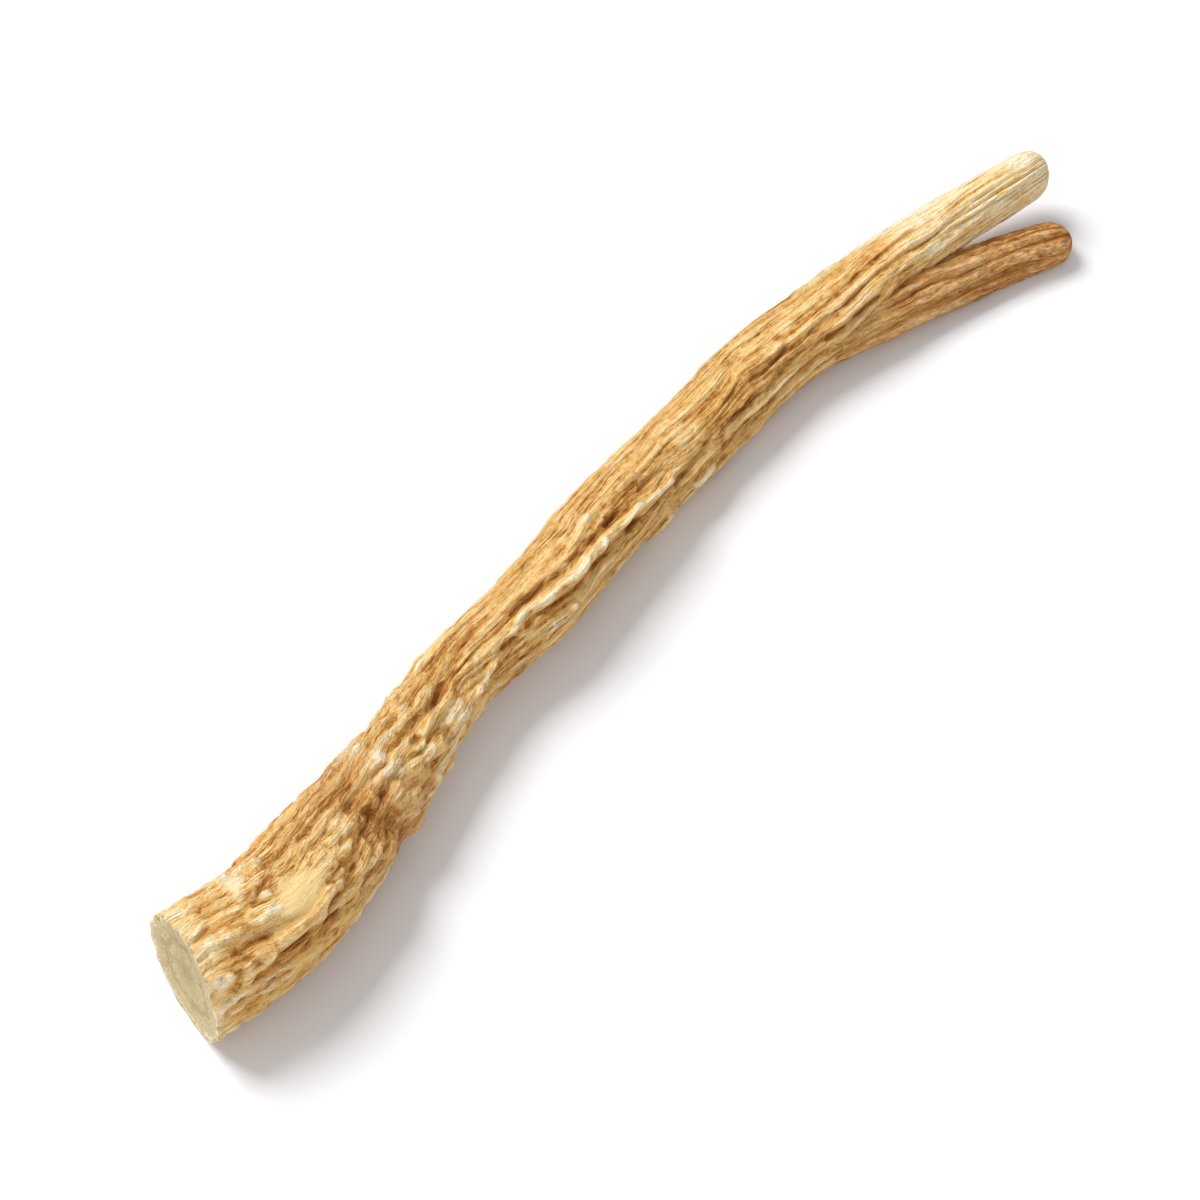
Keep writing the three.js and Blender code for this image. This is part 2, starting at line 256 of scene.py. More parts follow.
@dataclass
class Limb:
    """A limb of the root, as its middle line and thickness at equal steps along X."""

    start: float
    end: float
    sideways: Curve
    height: Curve
    radius: Curve
    rounding: float
    broad_ribs: int
    narrow_ribs: int
    sides: int
    rings: int
    folds: Wrinkles = Wrinkles(across=0.55, along=13.0, height=0.18, seed=3.7, steep=3.4)
    creases: Wrinkles = Wrinkles(across=0.24, along=4.5, height=0.1, seed=11.3, steep=2.8)
    plates: Wrinkles = Wrinkles(across=0.55, along=1.4, height=0.28, seed=7.1, steep=3.6)
    look_around: float = 0.36
    plate_depth: float = 0.1
    # The base of the bark's lightness, and how much its height and how far it stands out add: painted shade
    # darkens furrows and hollows, and crests come out pale
    plain_tone: float = 0.555
    height_tone: float = 0.25
    proud_tone: float = 0.8
    tip_smoothing: float = 0.6
    kink_shift: float = 0.1
    kink_length: float = 1.6
    kink_width: float = 0.9
    finer_kinks: float = 2.9
    tip_rings: int = 14

    def part_way(self, x: Array) -> Array:
        """Turns distances from the cut end into a share of this limb's length."""
        return (x - self.start) / (self.end - self.start)

    def middle(self, x: Array) -> Array:
        """The points of the middle line at distances from the cut end."""
        t = self.part_way(x)
        return np.stack([x, through(self.sideways, t), through(self.height, t)], axis=1)

    def stations(self, t: Array) -> tuple[Array, Array]:
        """Places rings along the limb, closer together where its tip is rounded off.

        Args:
            t: Places on the unit peg, from 0 to 1.

        Returns:
            The distance of each, and its size as a share of the full thickness.
        """
        round_from = 1.0 - self.tip_rings / self.rings
        turn = np.clip((t - round_from) / (1.0 - round_from), 0.0, 1.0) * math.pi / 2
        straight = self.start + (self.end - self.rounding - self.start) * np.minimum(t / round_from, 1.0)
        return straight + self.rounding * np.sin(turn), np.cos(turn)

    def flow(self, x: Array, angle: Array) -> Array:
        """The way that ribs and wrinkles run, as an angle that sways along the root.

        Args:
            x: Distances from the cut end.
            angle: Angles round the root, in degrees.

        Returns:
            The swayed angle at each point, in radians.
        """
        a = np.radians(angle)
        slow = 0.1 * np.sin(a + 0.8 + x / 31) + 0.06 * np.sin(3 * a + x / 19) + 0.06 * np.sin(x / 11.7 + 1.4)
        kinks = 0.025 * np.sin(x / 1.1 + 2 * a) + 0.015 * np.sin(x / 0.61 + 3 * a + 1)
        return a + slow + (kinks + 0.03 * np.sin(x / 1.9 + a))

    def rib_pattern(self, x: Array, angle: Array) -> Array:
        """Rounded ribs with narrow furrows between them.

        Args:
            x: Distances from the cut end.
            angle: Angles round the root, in degrees.

        Returns:
            From -0.5 in a furrow to 0.5 on a rib, for each point.
        """
        way = self.flow(x, angle)
        a = np.radians(angle)
        wide = np.abs(np.sin(self.broad_ribs * way / 2 + 0.6)) - 0.5
        close = np.abs(np.sin(self.narrow_ribs * way / 2 + 1.9)) - 0.5
        mix = 0.5 + 0.5 * np.sin(x / 14 + a)
        strength = 0.7 + 0.3 * np.sin(x / 7.3 + 2 * a + 2) * np.sin(x / 4.1 - a)
        return strength * (wide * mix + close * (1 - mix))

    def lumps(self, x: Array, angle: Array) -> Array:
        """Low swellings that keep the root from being truly round.

        Args:
            x: Distances from the cut end.
            angle: Angles round the root, in degrees.

        Returns:
            The swelling at each point, as a share of the radius.
        """
        a = np.radians(angle)
        low = 0.05 * np.sin(2 * a + x / 5.2) + 0.035 * np.sin(a * 3 - x / 4.1 + 1)
        return low + 0.03 * np.sin(x / 2.4 + a)

    def main_relief(self, x: Array, angle: Array) -> Array:
        """The relief that the frame's solid has too, in millimetres. Each kind of limb has its own."""
        raise NotImplementedError

    def plate_share(self, x: Array) -> Array:
        """How deep the cracks between short plates of bark are along the limb, from 0 to 1."""
        return np.full_like(x, self.plate_depth)

    def bend(self, x: Array) -> Array:
        """How far the small kinks shift the lines along the limb, in millimetres."""
        return np.full_like(x, self.kink_shift)

    def bent(self, x: Array, angle: Array) -> Array:
        """Turns each angle a little, so that lines along the root get irregular kinks.

        Args:
            x: Distances from the cut end.
            angle: Angles round the root, in degrees.

        Returns:
            The turned angles, in degrees.
        """
        girth = float(np.mean(self.radius))
        a = np.radians(angle)
        across = (np.cos(a) * girth / self.kink_width, np.sin(a) * girth / self.kink_width)
        places = np.stack([x / self.kink_length, *across], axis=1)
        aside = [noise.noise(p) + 0.5 * noise.noise(self.finer_kinks * p) for p in places]
        return angle + np.degrees(self.bend(x) / girth) * np.array(aside)

    def relief(self, x: Array, angle: Array) -> Array:
        """All relief of the bark, fine wrinkles included.

        Args:
            x: Distances from the cut end.
            angle: Angles round the root, in degrees.

        Returns:
            The height at each point, in millimetres.
        """
        turn = self.flow(x, angle)
        girth = float(np.mean(self.radius))
        kinds = (self.folds, self.creases, self.plates)
        folds, creases, plates = (w.height * w.at(x, turn, girth) for w in kinds)
        return self.main_relief(x, angle) + folds + creases + self.plate_share(x) * plates

    def skin(self, x: Array, angle: Array) -> tuple[Array, Array]:
        """The skin with all its relief.

        Args:
            x: Distances from the cut end.
            angle: Angles round the root, in degrees.

        Returns:
            The distance from the middle line to the skin, and how pale its relief makes the bark: dark in
            furrows and hollows as painted shade, and pale on crests.
        """
        thickness = through(self.radius, self.part_way(x))
        turn = np.degrees(self.look_around / thickness)
        angle = self.bent(x, angle)
        height = self.relief(x, angle)
        beside = self.relief(x, angle - turn) + self.relief(x, angle + turn)
        ahead = self.relief(x - self.look_around, angle) + self.relief(x + self.look_around, angle)
        # Painted shade: darker where the bark lies below its neighbours, paler where it stands out
        proud = height - (beside + 0.5 * ahead) / 3
        shaded_tone = self.plain_tone + self.height_tone * height + self.proud_tone * proud
        height *= 1 - self.tip_smoothing * fade(x, self.end - 1.6 * self.rounding, self.end)
        return thickness * (1 + self.lumps(x, angle)) + height, np.clip(shaded_tone, 0.0, 1.0)

    def place(self, t: Array, angle: Array, size: Array) -> tuple[Array, Marks]:
        """Puts the points of a unit peg on this limb.

        Args:
            t: How far along the peg each point is, from 0 to 1.
            angle: Angles round the peg, in degrees.
            size: How far from the peg's axis each point is, from 0 to 1.

        Returns:
            The points in millimetres, and their marks.
        """
        x, shrink = self.stations(t)
        reach, shaded_tone = self.skin(x, angle)
        middle = self.middle(x)
        along = self.middle(np.minimum(x + 0.5, self.end)) - self.middle(np.maximum(x - 0.5, self.start))
        along /= np.linalg.norm(along, axis=1, keepdims=True)
        side = np.cross(along, [0.0, 0.0, 1.0])
        side /= np.linalg.norm(side, axis=1, keepdims=True)
        up = np.cross(side, along)
        a = np.radians(angle)[:, None]
        out = up * np.cos(a) + side * np.sin(a)
        points = middle + out * (reach * size * shrink)[:, None]
        bent = self.bent(x, angle)
        marks = {Mark.SHADED_TONE: shaded_tone, Mark.WORN_AND_LIT: self.worn_and_lit(x, bent), Mark.STAIN_AND_SHADE: self.stain_and_shade(x, bent)}
        marks[Mark.CALM] = self.calm(x, bent)
        turn = self.flow(x, bent)
        marks[Mark.WAY] = np.stack([x, reach * size * np.cos(turn), reach * size * np.sin(turn)], axis=1)
        inside = (t < AT_END) & (size < RIM)
        marks[Mark.CUT] = inside.astype(float)
        marks[Mark.CUT_REACH] = size
        return points, marks

    def worn_and_lit(self, x: Array, angle: Array) -> Array:
        """Where the bark is pale from rubbing and from painted light, from 0 to 1."""
        return np.zeros_like(x)

    def stain_and_shade(self, x: Array, angle: Array) -> Array:
        """Where the bark is brown from stains and painted shade, from 0 to 1."""
        return np.zeros_like(x)

    def calm(self, x: Array, angle: Array) -> Array:
        """Where the bark is smooth, from 0 to 1."""
        return np.zeros_like(x)

    def peg(self, cap_sizes: tuple[float, ...]) -> bmesh.types.BMesh:
        """A closed peg of length 1 and radius 1, with a ring for each station.

        Args:
            cap_sizes: The rings of the flat end, as shares of its radius; the last is 0.

        Returns:
            The peg, standing on z = 0.
        """
        bm = bmesh.new()
        bmesh.ops.create_cone(bm, cap_ends=False, segments=self.sides, radius1=1.0, radius2=1.0, depth=1.0)
        bmesh.ops.translate(bm, verts=bm.verts, vec=(0.0, 0.0, 0.5))
        upright = [e for e in bm.edges if abs(e.verts[0].co.z - e.verts[1].co.z) > 0.5]
        bmesh.ops.subdivide_edges(bm, edges=upright, cuts=self.rings - 1, use_grid_fill=True)
        rim = [e for e in bm.edges if e.is_boundary and e.verts[0].co.z + e.verts[1].co.z < AT_END]
        size = 1.0
        for smaller in cap_sizes:
            made = bmesh.ops.extrude_edge_only(bm, edges=rim)["geom"]
            rim = [g for g in made if isinstance(g, bmesh.types.BMEdge)]
            ring = [g for g in made if isinstance(g, bmesh.types.BMVert)]
            bmesh.ops.scale(bm, verts=ring, vec=(smaller / size, smaller / size, 1.0))
            size = max(smaller, 1e-9)
        return bm

    def build(self) -> tuple[bpy.types.Mesh, Marks]:
        """Makes the limb as a closed mesh in millimetres.

        Returns:
            The mesh, and the marks of its points.
        """
        bm = self.peg(self.cap_sizes())
        co = np.array([v.co for v in bm.verts])
        angle = np.degrees(np.arctan2(co[:, 1], co[:, 0]))
        points, marks = self.place(co[:, 2], angle, np.hypot(co[:, 0], co[:, 1]))
        points[:, 2] = np.maximum(points[:, 2], 0.0)
        for v, p in zip(bm.verts, points):
            v.co = p
        keep = bm.verts.layers.int.new("order")
        for i, v in enumerate(bm.verts):
            v[keep] = i
        bmesh.ops.remove_doubles(bm, verts=bm.verts, dist=MERGE)
        bmesh.ops.recalc_face_normals(bm, faces=bm.faces)
        order = np.array([v[keep] for v in bm.verts])
        mesh = bpy.data.meshes.new("limb")
        bm.to_mesh(mesh)
        bm.free()
        return mesh, {mark: values[order] for mark, values in marks.items()}

    def cap_sizes(self) -> tuple[float, ...]:
        """The rings of the limb's flat end, as shares of its radius."""
        return (0.5, 0.0)


# The trunk's long ribs and furrows, placed from the photo, with the last five on its hidden side:
# start, end, angles at equal steps, height, width in degrees, and how pale the crest is
LONG_RELIEF = (
    # Thick end
    (-0.4, 3.6, (42, 40, 37, 35), -0.4, 5),
    (-0.3, 2.4, (82, 79, 75), -0.4, 5),
    (0.3, 3.3, (71, 62, 57, 50), 0.35, 5, 0.6),
    (0.2, 6, (-34, -30, -26), 0.35, 8, 0.5),
    (0.6, 7.5, (-42, -48, -46), -0.4, 6),
    (2.6, 6.9, (66, 60, 58, 60, 66), -0.5, 5),
    (5.8, 9, (54, 51, 46), -0.45, 4.5),
    (4.8, 9.4, (-12, -17, -19, -14), -0.45, 6),
    (3.4, 5.8, (6, 0, -8), -0.3, 4),
    (8, 10.8, (68, 71, 82), -0.4, 5),
    (8.2, 10.4, (16, 24, 27), -0.3, 4),
    (8.3, 10.9, (51, 59, 69), 0.35, 5, 0.6),
    # Neck and middle
    (15.3, 17.6, (29, 27, 27), -0.35, 6),
    (18.3, 25.2, (26, 17, 5, -3, -12), -0.4, 7),
    (19, 24.6, (69, 69, 65, 63, 50), 0.4, 6, 0.9),
    (25.4, 33.2, (39, 30, 32, 35, 39, 38), 0.42, 6, 1),
    (33.2, 41.6, (56, 33, 41, 39, 44, 51, 54), 0.42, 6, 1),
    (26.2, 37.6, (18, 14, 19, 23, 25, 24, 25, 22), -0.45, 5.5),
    (28, 38.2, (47, 50, 54, 51, 50, 52, 53), -0.45, 5.5),
    (27.6, 30.6, (75, 67, 68), 0.3, 6, 0.8),
    (32.4, 35.2, (-1, 1, 3), 0.25, 8, 1),
    (37.2, 41.2, (6, 10, 11, 12), 0.28, 6, 0.7),
    (38.6, 41.5, (26, 28, 33), -0.3, 5),
    (37.2, 41, (65, 67, 62), -0.35, 9),
    # Towards the fork
    (40.8, 45.4, (66, 62, 58, 54, 48), -0.45, 5.5),
    (37.5, 45.2, (112, 108, 96, 88, 87, 84), 0.35, 7, 0.8),
    (46.4, 54.8, (50, 52, 49, 50, 49, 49), -0.45, 5.5),
    (49.8, 53.8, (24, 23, 28, 28), -0.38, 5.5),
    (50, 55.6, (80, 80, 77, 72), -0.32, 5.5),
    (55.2, 60.8, (37, 38, 34, 25), -0.35, 6),
    (55.9, 61.2, (59, 60, 56, 55), -0.35, 6),
    (56, 61.4, (18, 14, 9, 1), -0.32, 6),
    (56.3, 61.6, (46, 48, 45, 47, 51), 0.25, 5, 0.4),
    (57, 65, (-57, -59, -57), 0.2, 7, 0.8),
    (57.7, 61, (79, 76, 73), -0.3, 6),
    # Hidden side
    (5, 30, (-72, -84, -70, -80, -76), -0.4, 8),
    (2, 22, (175, 168, 180, 172), -0.45, 8),
    (20, 58, (150, 162, 148, 158, 150), 0.38, 9),
    (30, 64, (-100, -112, -96, -106, -98), -0.42, 8),
    (44, 66, (-140, -150, -138, -146), 0.35, 8),
)

# Its pale flecks: distance from the cut, angle, half of the length, half of the width, height, how pale
FLECKS = (
    (3.2, -19, 0.8, 0.6, 0.08, 1),
    (2.9, -2, 0.5, 0.35, 0.05, 0.8),
    (3.7, 22, 0.7, 0.3, 0.06, 1),
    (4.1, 10, 0.4, 0.3, 0.06, 0.9),
    (0.2, 51, 0.7, 0.5, 0.05, 1),
    (0.8, 21, 0.7, 0.5, 0.06, 0.6),
    (10, 12, 0.8, 0.5, 0.08, 0.7),
    (14.8, 1, 0.4, 0.35, 0.1, 1),
    (14.3, 18, 0.5, 0.4, 0.08, 0.8),
    (15.1, 32, 0.8, 0.35, 0.08, 0.8),
    (14.6, -25, 0.6, 0.6, 0.06, 0.7),
    (17.2, 46, 0.4, 0.6, 0.08, 1),
    (18.2, -12, 0.6, 0.25, 0.06, 0.7),
    (20, 50, 1.2, 0.6, 0.12, 0.75),
    (21.8, -45, 1.0, 0.4, 0.06, 0.6),
    (44, 22, 1.3, 0.9, 0.04, 0.45),
    (52.6, 13, 0.9, 0.5, 0.06, 0.8),
    (54.6, 5, 0.8, 0.3, 0.05, 0.7),
    (66.4, -20, 1.6, 0.5, 0.04, 0.9),
    (66.2, 56, 0.9, 0.26, 0.04, 0.7),
    (9, 170, 1.5, 1.0, 0.1, 0.6),
)

# Its pits, with the same values but the last, which is how brown they are
PITS = (
    (0.3, 12, 0.5, 0.3, -0.1, 0.7),
    (2.9, 80, 0.8, 0.4, -0.15, 1),
    (3.3, 6, 0.35, 0.5, -0.12, 0.8),
    (2.3, 23, 0.5, 0.25, -0.12, 0.7),
    (4.6, 8, 0.4, 0.3, -0.15, 0.9),
    (8.3, -8, 0.5, 0.4, -0.12, 0.9),
    (11.1, 7, 0.45, 0.35, -0.12, 0.9),
    (12.3, -10, 0.4, 0.35, -0.12, 0.9),
    (12.8, -45, 0.8, 1.0, -0.1, 0.7),
    (15.5, 80, 0.8, 0.4, -0.15, 0.8),
    (18.6, 64, 0.6, 0.5, -0.1, 0.8),
    (18.8, -25, 0.5, 0.35, -0.1, 0.7),
    (25.6, 46, 0.7, 0.35, -0.1, 0.8),
    (27.3, 44, 0.35, 0.22, -0.12, 1),
    (47, 150, 2.0, 0.8, -0.1, 0.8),
    (24, -130, 1.6, 0.9, -0.1, 0.8),
)


@dataclass
class Trunk(Limb):
    """The trunk, from the cut end through the shoulder, neck and shaft to the tip of the upper leg."""

    start: float = -0.7
    end: float = 76.6
    sideways: Curve = (0, -1.2, -0.4, 0.8, 2.0, 2.2, 2.8, 3.4, 3.7, 3.8, 3.3, 2.7, 1.6, 0.3)
    height: Curve = (3.5, 3.45, 3.45, 3.45, 3.4, 3.15, 2.8, 2.5, 2.32, 2.3, 2.45, 2.85, 3.25, 3.65)
    radius: Curve = (3.5, 3.45, 3.0, 2.3, 2.05, 2.35, 2.4, 2.38, 2.28, 2.3, 2.2, 1.85, 1.65, 1.4)
    rounding: float = 1.5
    broad_ribs: int = 14
    narrow_ribs: int = 17
    sides: int = 200
    rings: int = 380
    butt_rib_height: float = 0.46
    middle_rib_height: float = 0.26
    tip_rib_height: float = 0.18
    full_relief_radius: float = 2.2
    shoulder: Span = (9.0, 20.0)
    towards_tip: Span = (56.0, 76.0)
    neck_at: float = 16.0
    knobs_at: float = 18.0
    knobs_reach: float = 6.5
    knob_height: float = 0.16
    crease_at: float = 12.2
    crease_angle: float = 62.0
    crease_depth: float = 0.6
    crease_reach: float = 58.0
    crease_width: float = 0.8
    # Where along the trunk its looks change, and round which angles
    straighter: Span = (40.0, 50.0)
    lower_lines: Span = (46.0, 52.0)
    break_length: float = 1.1
    breaks_round: float = 4.5
    unbroken: float = 0.62
    plate_depth: float = 0.15
    plates_end: Span = (8.0, 12.0)
    pale_rim: Span = (0.1, 0.9)
    # The upper leg pales towards its tip, and along one edge there, from rubbing and as painted light
    pale_leg: Span = (61.0, 70.0)
    pale_tip: Span = (73.6, 75.0)
    pale_edge: Span = (62.0, 67.0)
    edge_angle: float = -48.0
    edge_reach: float = 36.0
    stain_at: float = 13.0
    stain_reach: float = 3.0
    # Painted shade browns the bark low on its sides, away from this angle on its top
    unshaded_angle: float = 10.0
    unshaded_reach: float = 105.0
    cut_turn: float = 6.0
    cut_lean: float = 4.0
    cut_reach: float = 7.0
    dish_depth: float = 0.2
    cut_grain: float = 1.6
    cut_roughness: float = 0.12
    long_relief: tuple[LongRelief, ...] = tuple(LongRelief(*row) for row in LONG_RELIEF)
    spots: tuple[Spot, ...] = (
        Spot(5.5, 25, 1.8, 1.15, 0.1, pale=0.55, smooth=0.9),
        *(Spot(*row) for row in FLECKS),
        *(Spot(*place, brown=brown) for *place, brown in PITS),
    )
    scars: tuple[RingScar, ...] = (
        RingScar(10.3, 48, 16, -0.3, 0.35),
        RingScar(11.4, 30, 15, -0.25, 0.35),
        RingScar(12.7, 36, 26, -0.3, 0.4),
        RingScar(34.8, -10, 70, 0.16),
        RingScar(46.2, 58, 18, -0.22, 0.35),
        RingScar(49.5, 200, 90, 0.25),
        RingScar(8.2, 190, 80, 0.25),
    )

    def cap_sizes(self) -> tuple[float, ...]:
        """The rings of the cut face, as shares of its radius."""
        return (0.985, 0.96, 0.9, 0.82, 0.72, 0.62, 0.52, 0.42, 0.32, 0.22, 0.12, 0.0)

    def rib_height(self, x: Array) -> Array:
        """How high the ribs are along the trunk, in millimetres."""
        drop = self.butt_rib_height - self.middle_rib_height
        main = self.butt_rib_height - drop * fade(x, *self.shoulder)
        return main + (self.tip_rib_height - main) * fade(x, *self.towards_tip)

    def neck_relief(self, x: Array, angle: Array) -> Array:
        """Short knobs on the neck, and the crease that crosses one side of it.

        Args:
            x: Distances from the cut end.
            angle: Angles round the root, in degrees.

        Returns:
            The height at each point, in millimetres.
        """
        a = np.radians(angle)
        knobs = np.sin(x * 2.3 + 2.2 * np.sin(2 * a + 0.5)) * np.sin(4 * a + x * 0.7)
        crease = self.crease_depth * self.crease_share(x, angle)
        return self.knob_height * knobs * hump(x - self.knobs_at, self.knobs_reach) - crease

    def crease_share(self, x: Array, angle: Array) -> Array:
        """How near each point is to the crease that crosses the neck, from 0 to 1.

        Args:
            x: Distances from the cut end.
            angle: Angles round the root, in degrees.

        Returns:
            1 in the crease, fading to 0 beside it and past its ends.
        """
        bent = self.crease_at + 0.8 * np.sin(np.radians(angle - self.crease_angle))
        aside = turn_between(angle, self.crease_angle)
        return hump(aside, self.crease_reach) * hump(x - bent, self.crease_width)

    def over_spots(self, x: Array, angle: Array, kind: str) -> Array:
        """Adds up what the spots give.

        Args:
            x: Distances from the cut end.
            angle: Angles round the root, in degrees.
            kind: Which of the spots' values.

        Returns:
            The sum at each point.
        """
        thickness = through(self.radius, self.part_way(x))
        told = [(getattr(spot, kind), spot) for spot in self.spots if getattr(spot, kind)]
        return sum(value * spot.share(x, angle, thickness) for value, spot in told)

    def main_relief(self, x: Array, angle: Array) -> Array:
        """The ribs, furrows and scars that the frame's solid has too.

        Args:
            x: Distances from the cut end.
            angle: Angles round the root, in degrees.

        Returns:
            The height at each point, in millimetres.
        """
        ribs = self.rib_height(x) * self.rib_pattern(x, angle) + self.neck_relief(x, angle)
        lines = sum(line.height * line.share(x, angle) for line in self.long_relief)
        scars = sum(scar.height * scar.share(x, angle) for scar in self.scars)
        thin = np.minimum(1.0, through(self.radius, self.part_way(x)) / self.full_relief_radius)
        lines *= self.ragged(x, angle) * (1 - 0.25 * fade(x, *self.lower_lines))
        return (ribs + lines + scars) * thin

    def bend(self, x: Array) -> Array:
        """How far the small kinks shift the lines: most on the neck, least near the tips, in millimetres."""
        return self.kink_shift - 0.05 * fade(x, *self.straighter) + 0.14 * hump(x - self.neck_at, 6.0)

    def ragged(self, x: Array, angle: Array) -> Array:
        """Breaks up the long ribs and furrows.

        Args:
            x: Distances from the cut end.
            angle: Angles round the root, in degrees.

        Returns:
            How much of the long relief is there at each point, from 0.2 to 0.95.
        """
        a = np.radians(angle)
        places = zip(x / self.break_length, self.breaks_round * np.cos(a), self.breaks_round * np.sin(a))
        return np.clip(self.unbroken + np.array([noise.noise(place) for place in places]), 0.2, 0.95)

    def plate_share(self, x: Array) -> Array:
        """How deep the cracks between short plates are: most on the thick end and the neck."""
        thick_end = 0.5 * (1 - fade(x, *self.plates_end))
        return self.plate_depth + thick_end + 0.42 * hump(x - self.neck_at, 5.0)

    def relief(self, x: Array, angle: Array) -> Array:
        """All relief of the bark with its spots, in millimetres."""
        return super().relief(x, angle) * (1 - self.calm(x, angle)) + self.over_spots(x, angle, "height")

    def calm(self, x: Array, angle: Array) -> Array:
        """Where the bark is smooth, from 0 to 1."""
        return np.clip(self.over_spots(x, angle, "smooth"), 0.0, 1.0)

    def worn_and_lit(self, x: Array, angle: Array) -> Array:
        """Where the bark is pale, from 0 to 1.2: from rubbing at the tip, the rim of the cut, some crests and
        flecks, and brightened towards the tip as painted light.
        """
        edge = fade(x, *self.pale_edge) * hump(turn_between(angle, self.edge_angle), self.edge_reach)
        # Towards the tip the bark is pale from rubbing, and brightened as painted light
        tip = 0.62 * fade(x, *self.pale_leg) + 1.2 * fade(x, *self.pale_tip) + 1.2 * edge
        rim = 0.8 * (1 - fade(x, *self.pale_rim))
        crests = sum(line.pale * line.share(x, angle) ** 2 for line in self.long_relief)
        crests *= self.ragged(x, angle) ** 2
        neck = 0.15 * hump(x - self.neck_at, 4.0)
        return np.clip(tip + rim + crests + neck + self.over_spots(x, angle, "pale"), 0.0, 1.2)

    def stain_and_shade(self, x: Array, angle: Array) -> Array:
        """Where the bark is brown, from 0 to 1: stains round the neck and in pits, and painted shade low on
        the sides, in sunk furrows and scars and in the crease.
        """
        neck = hump(x - self.stain_at, self.stain_reach)
        # Painted shade: browner low on the sides, in sunk furrows and scars by their depth, and in the crease
        low = 1 - hump(turn_between(angle, self.unshaded_angle), self.unshaded_reach)
        sunk = [line for line in (*self.long_relief, *self.scars) if line.height < 0]
        lines = sum(-1.2 * line.height * line.share(x, angle) for line in sunk)
        places = 0.45 * neck + 0.35 * low + lines + 0.85 * self.crease_share(x, angle)
        return np.clip(places + self.over_spots(x, angle, "brown"), 0.0, 1.0)

    def place(self, t: Array, angle: Array, size: Array) -> tuple[Array, Marks]:
        """Puts the points of a unit peg on the trunk, with its thick end cut across.

        Args:
            t: How far along the peg each point is, from 0 to 1.
            angle: Angles round the peg, in degrees.
            size: How far from the peg's axis each point is, from 0 to 1.

        Returns:
            The points in millimetres, and their marks.
        """
        points, marks = super().place(t, angle, size)
        x, _ = self.stations(t)
        offset = points - self.middle(x)
        near = 1 - fade(x, 0, self.cut_reach)
        aside = offset[:, 1] * math.tan(math.radians(self.cut_turn))
        above = offset[:, 2] * math.tan(math.radians(self.cut_lean))
        points[:, 0] += near * (aside + above)
        on_cut = marks[Mark.CUT]
        fine = self.cut_grain
        grain = np.array([noise.noise((p[0], p[1] * fine, p[2] * fine)) for p in points])
        points[:, 0] += on_cut * (self.dish_depth * (1 - size * size) + self.cut_roughness * grain)
        return points, marks


@dataclass
class LowerLeg(Limb):
    """The lower leg, from inside the trunk to its blunt tip."""

    start: float = 56.0
    end: float = 74.6
    sideways: Curve = (2.9, 1.5, 0.2, -1.3, -3.4)
    height: Curve = (2.0, 1.8, 1.5, 1.22, 1.0)
    radius: Curve = (1.5, 1.6, 1.5, 1.4, 1.25)
    rounding: float = 1.1
    broad_ribs: int = 9
    narrow_ribs: int = 12
    sides: int = 120
    rings: int = 100
    rib_height: float = 0.24
    plate_depth: float = 0.3
    # Where the leg darkens towards its tip as painted shadow
    shadowed_towards_tip: Span = (62.0, 74.0)

    def main_relief(self, x: Array, angle: Array) -> Array:
        """The ribs that the frame's solid has too, in millimetres."""
        return self.rib_height * self.rib_pattern(x + 11, angle + 40)

    def lumps(self, x: Array, angle: Array) -> Array:
        """Low swellings, turned from the trunk's."""
        return super().lumps(x, angle + 90)

    def stain_and_shade(self, x: Array, angle: Array) -> Array:
        """Where the bark is brown: browner than the trunk, and darker towards the tip as painted shadow."""
        return 0.8 + 0.4 * fade(x, *self.shadowed_towards_tip)


@dataclass(frozen=True)
class Grain:
    """Noise that is drawn out along the root.

    The size is the width of a streak, in the unit of the coordinates that it is laid on. The stretch is how
    many times longer than wide it is, the detail how much finer noise lies over it and the roughness how
    strong that is. The seed moves it, and the weight is how much it counts in the bark's tone.
    """

    size: float
    stretch: float
    detail: float
    seed: float
    weight: float = 1.0
    roughness: float = 0.6


